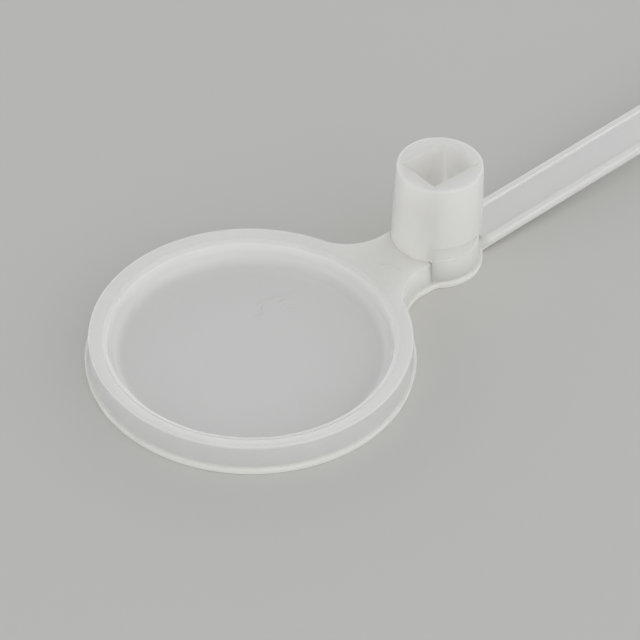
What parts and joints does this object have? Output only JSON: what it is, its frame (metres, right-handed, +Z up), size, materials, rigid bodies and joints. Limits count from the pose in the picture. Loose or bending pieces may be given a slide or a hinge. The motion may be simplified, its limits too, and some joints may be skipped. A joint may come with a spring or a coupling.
{
  "type": "sink stopper with strap and socket boss",
  "caption": "Translucent moulded sink stopper: shallow round dish, upright boss with a blind oblong socket beside it, and a long channel-section strap.",
  "frame": {"origin": "centre of the round dish, on the flat underside", "axes": "+X from the dish centre to the socket boss and along the strap, +Y to the left of the strap, +Z up, out of the dish and along the socket"},
  "size_m": [0.142, 0.0456, 0.0173],
  "materials": {
    "natural_polypropylene": "milky translucent natural polypropylene as moulded, satin, warm white where it is thick",
    "natural_polypropylene_thin": "the same natural polypropylene in a thin wall, clearer and greyer, with fine flow marks and scuffs"
  },
  "bodies": {
    "root": {"dish_rim": "natural_polypropylene", "parting_lip": "natural_polypropylene", "neck": "natural_polypropylene", "collar": "natural_polypropylene", "socket_boss": "natural_polypropylene", "strap_rail_left": "natural_polypropylene", "strap_rail_right": "natural_polypropylene", "strap_tip": "natural_polypropylene", "gate_mark": "natural_polypropylene", "dish_floor": "natural_polypropylene_thin", "strap_web": "natural_polypropylene_thin"}
  },
  "joints": []
}
